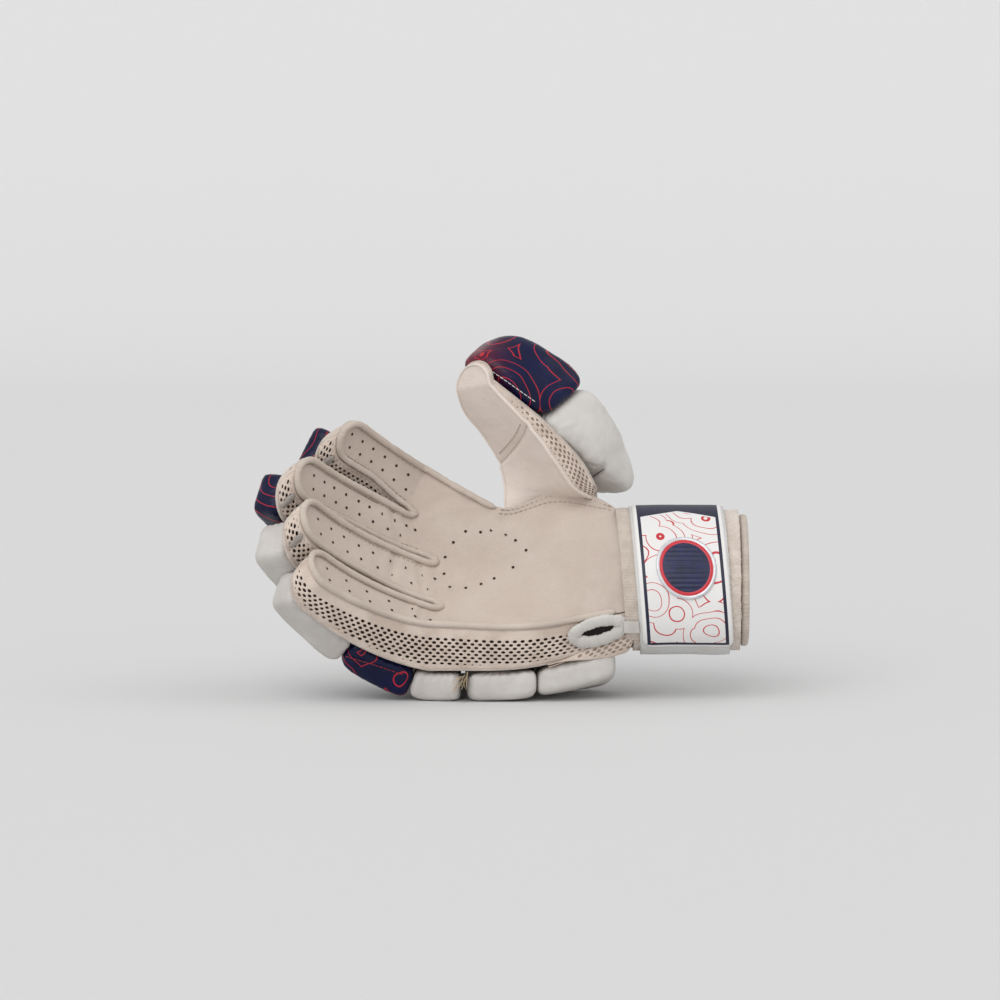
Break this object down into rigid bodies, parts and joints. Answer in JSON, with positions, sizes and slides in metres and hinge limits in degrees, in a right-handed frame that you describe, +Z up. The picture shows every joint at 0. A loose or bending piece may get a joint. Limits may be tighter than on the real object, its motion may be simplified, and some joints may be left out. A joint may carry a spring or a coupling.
{
  "type": "cricket batting glove",
  "caption": "Right-hand cricket batting glove with padded finger rolls, mesh gussets, a rolled thumb guard and a strapped towelling cuff, standing on its little-finger side.",
  "frame": {"origin": "centre of the glove's bounding box in plan, on the ground it stands on", "axes": "+X from the finger tips to the cuff, +Y from the palm to the back of the hand, +Z up from the little-finger side to the thumb"},
  "size_m": [0.223, 0.104, 0.1651],
  "materials": {
    "leather": "satin",
    "lining": "matte",
    "mesh_cloth": "matte",
    "white_leather": "satin",
    "navy_leather": "gloss",
    "towelling": "matte",
    "badge": "gloss"
  },
  "bodies": {
    "root": {"palm_leather": "leather", "back_lining": "lining", "thumb_leather_base": "leather", "thumb_leather_tip": "leather", "thumb_back": "lining", "mesh_ulnar": "mesh_cloth", "slit_binding": "leather", "side_tab": "white_leather", "mesh_little_ring": "mesh_cloth", "mesh_ring_middle": "mesh_cloth", "mesh_middle_index": "mesh_cloth", "web_wall": "leather", "mesh_thumb": "mesh_cloth", "little_pad_1": "white_leather", "little_pad_2": "white_leather", "little_pad_3": "white_leather", "little_pad_4": "navy_leather", "little_pad_5": "white_leather", "ring_pad_1": "white_leather", "ring_pad_2": "white_leather", "ring_pad_3": "white_leather", "ring_pad_4": "navy_leather", "ring_pad_5": "white_leather", "middle_pad_1": "white_leather", "middle_pad_2": "white_leather", "middle_pad_3": "white_leather", "middle_pad_4": "white_leather", "middle_pad_5": "navy_leather", "index_pad_1": "white_leather", "index_pad_2": "white_leather", "index_pad_3": "white_leather", "index_pad_4": "white_leather", "index_pad_5": "navy_leather", "thumb_pad_base": "white_leather", "thumb_pad_tip": "navy_leather", "piping_little": "leather", "piping_ring": "leather", "piping_middle": "leather", "piping_index": "leather", "cuff": "towelling", "cuff_binding": "leather", "strap": "white_leather", "strap_patch": "white_leather", "strap_badge": "badge"}
  },
  "joints": []
}
